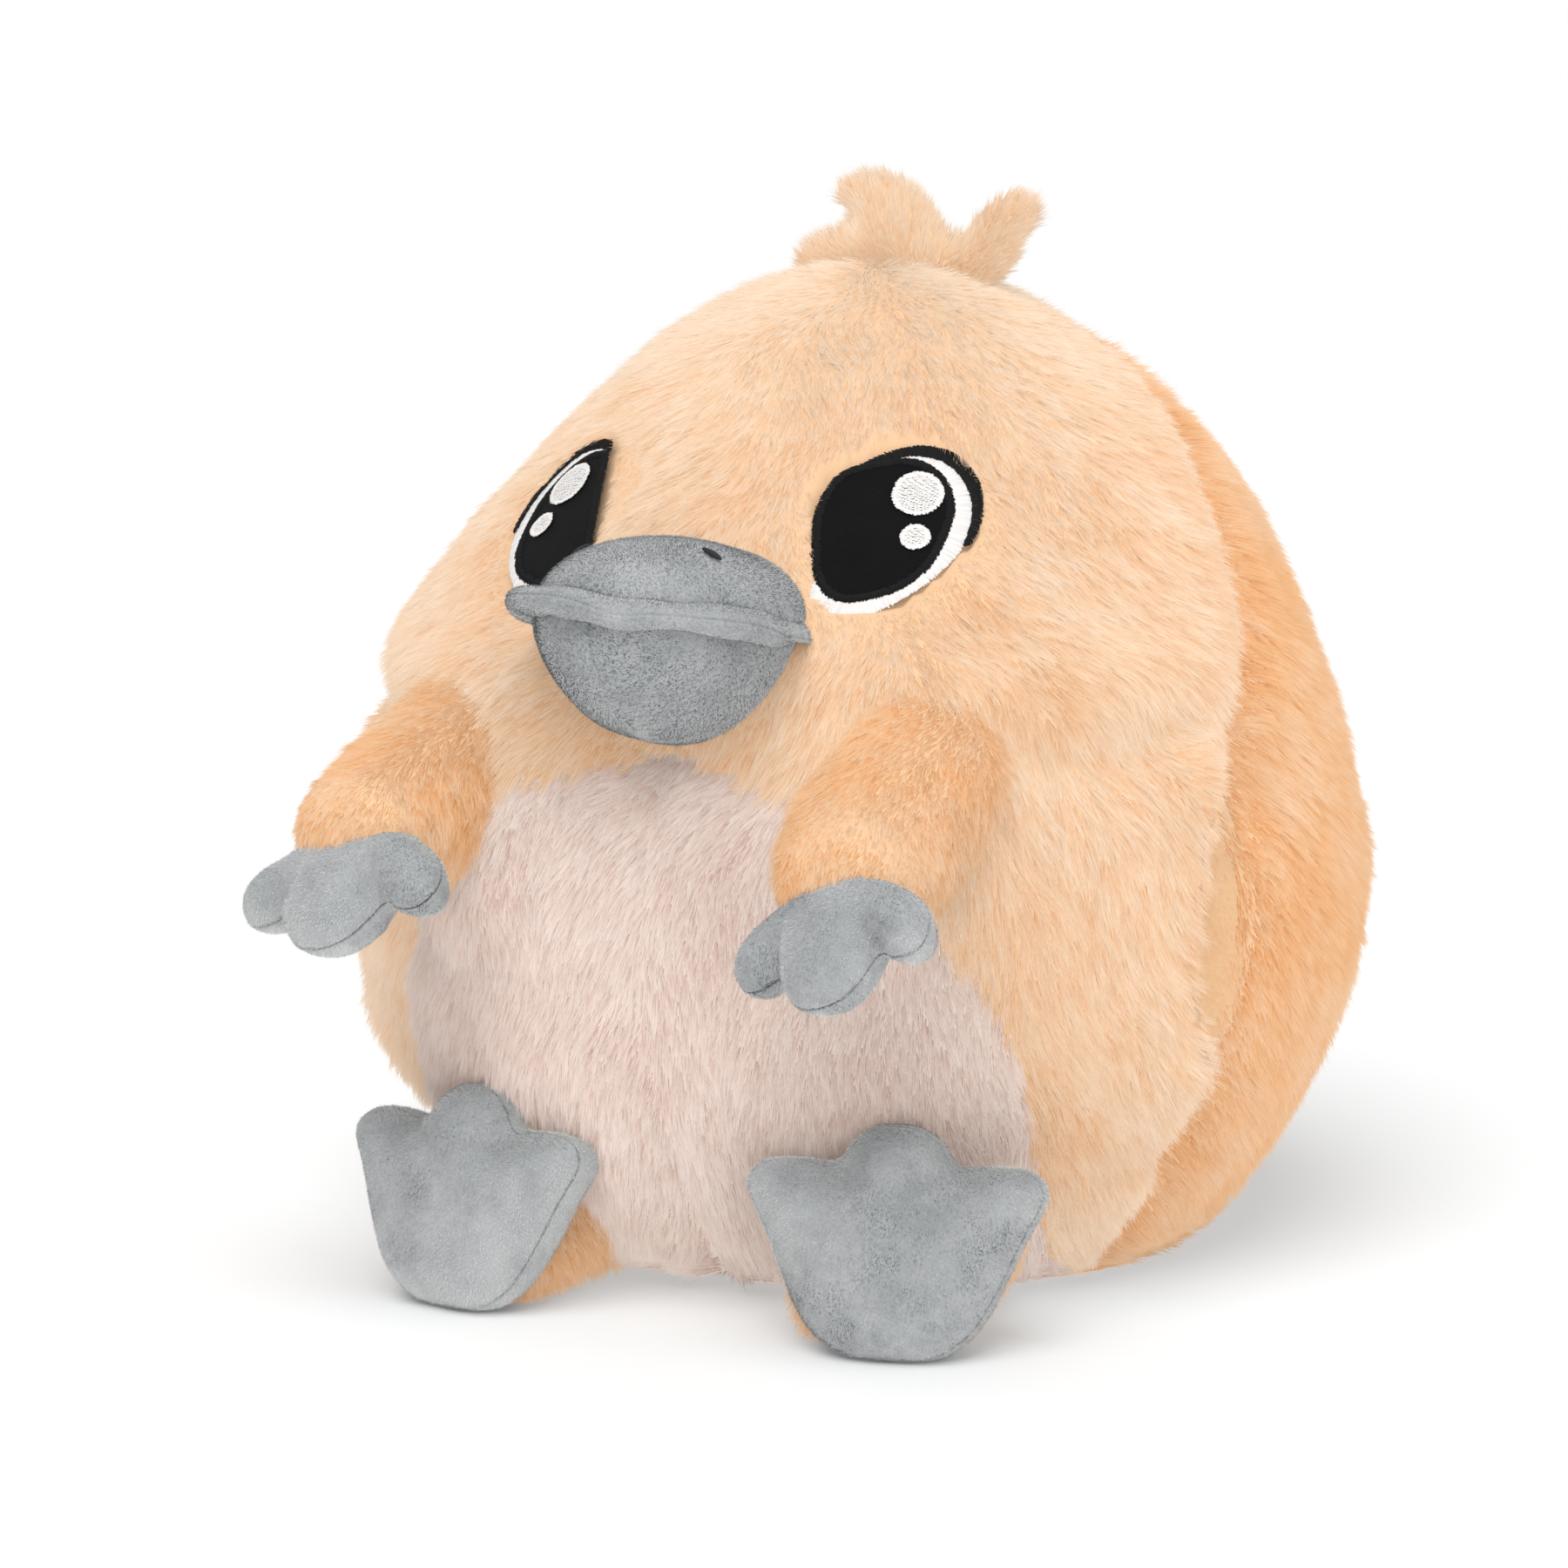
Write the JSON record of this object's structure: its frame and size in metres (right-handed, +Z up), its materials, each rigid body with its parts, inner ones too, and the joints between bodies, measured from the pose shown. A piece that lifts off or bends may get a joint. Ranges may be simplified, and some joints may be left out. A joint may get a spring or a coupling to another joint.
{
  "type": "plush hand warmer",
  "caption": "Round stuffed platypus cushion with a padded bill, short arms and upright webbed feet, and a lined pocket from side to side that warms the hands.",
  "frame": {"origin": "on the flat base, under the middle of the round body", "axes": "+Z up, -Y the way the toy faces, +X towards the toy's left side"},
  "size_m": [0.312, 0.3567, 0.327],
  "materials": {
    "peach_fur": "long soft pile",
    "cream_fur": "long soft pile",
    "grey_velboa": "short brushed nap",
    "pocket_plush": "short plush pile",
    "fibre_filling": "loose polyester fibre",
    "black_velvet": "matt velvet",
    "black_thread": "satin stitch",
    "white_thread": "satin stitch"
  },
  "bodies": {
    "body": {"front_cover": "peach_fur", "belly_cover": "cream_fur", "back_cover": "peach_fur", "base_cover": "peach_fur", "pocket_lining": "pocket_plush", "front_filling": "fibre_filling", "back_filling": "fibre_filling", "left_eye_white": "white_thread", "left_eye_pupil": "black_velvet", "left_eye_rim": "black_thread", "left_eye_large_glint": "white_thread", "left_eye_small_glint": "white_thread", "right_eye_white": "white_thread", "right_eye_pupil": "black_velvet", "right_eye_rim": "black_thread", "right_eye_large_glint": "white_thread", "right_eye_small_glint": "white_thread", "bill_upper": "grey_velboa", "bill_lower": "grey_velboa", "bill_flange": "grey_velboa", "bill_filling": "fibre_filling", "left_nostril": "black_thread", "right_nostril": "black_thread", "left_leg_cover": "peach_fur", "left_leg_filling": "fibre_filling", "right_leg_cover": "peach_fur", "right_leg_filling": "fibre_filling"},
    "left_arm": {"left_sleeve": "peach_fur", "left_arm_filling": "fibre_filling", "left_hand_back": "grey_velboa", "left_hand_palm": "grey_velboa", "left_hand_filling": "fibre_filling"},
    "right_arm": {"right_sleeve": "peach_fur", "right_arm_filling": "fibre_filling", "right_hand_back": "grey_velboa", "right_hand_palm": "grey_velboa", "right_hand_filling": "fibre_filling"},
    "left_foot": {"left_foot_front": "grey_velboa", "left_foot_back": "grey_velboa", "left_foot_filling": "fibre_filling"},
    "right_foot": {"right_foot_front": "grey_velboa", "right_foot_back": "grey_velboa", "right_foot_filling": "fibre_filling"},
    "crest": {"crest_front": "peach_fur", "crest_back": "peach_fur"}
  },
  "joints": [
    {"name": "left_shoulder", "type": "hinge", "parent": "body", "child": "left_arm", "pos_m": [0.07394, -0.12305, 0.1606], "axis": [-1, 0, 0], "range_deg": [0, 50], "stiffness_Nm_per_rad": 0.08},
    {"name": "right_shoulder", "type": "hinge", "parent": "body", "child": "right_arm", "pos_m": [-0.07394, -0.12305, 0.1606], "axis": [-1, 0, 0], "range_deg": [0, 50], "stiffness_Nm_per_rad": 0.08},
    {"name": "left_heel", "type": "hinge", "parent": "body", "child": "left_foot", "pos_m": [0.0663, -0.14469, 0.01358], "axis": [0.9781, 0.2079, 0], "range_deg": [0, 40], "stiffness_Nm_per_rad": 0.05},
    {"name": "right_heel", "type": "hinge", "parent": "body", "child": "right_foot", "pos_m": [-0.0663, -0.14469, 0.01358], "axis": [0.9781, -0.2079, 0], "range_deg": [0, 40], "stiffness_Nm_per_rad": 0.05},
    {"name": "crest_flop", "type": "hinge", "parent": "body", "child": "crest", "pos_m": [0, 0.017, 0.298], "axis": [1, 0, 0], "range_deg": [-25, 25], "stiffness_Nm_per_rad": 0.02}
  ]
}
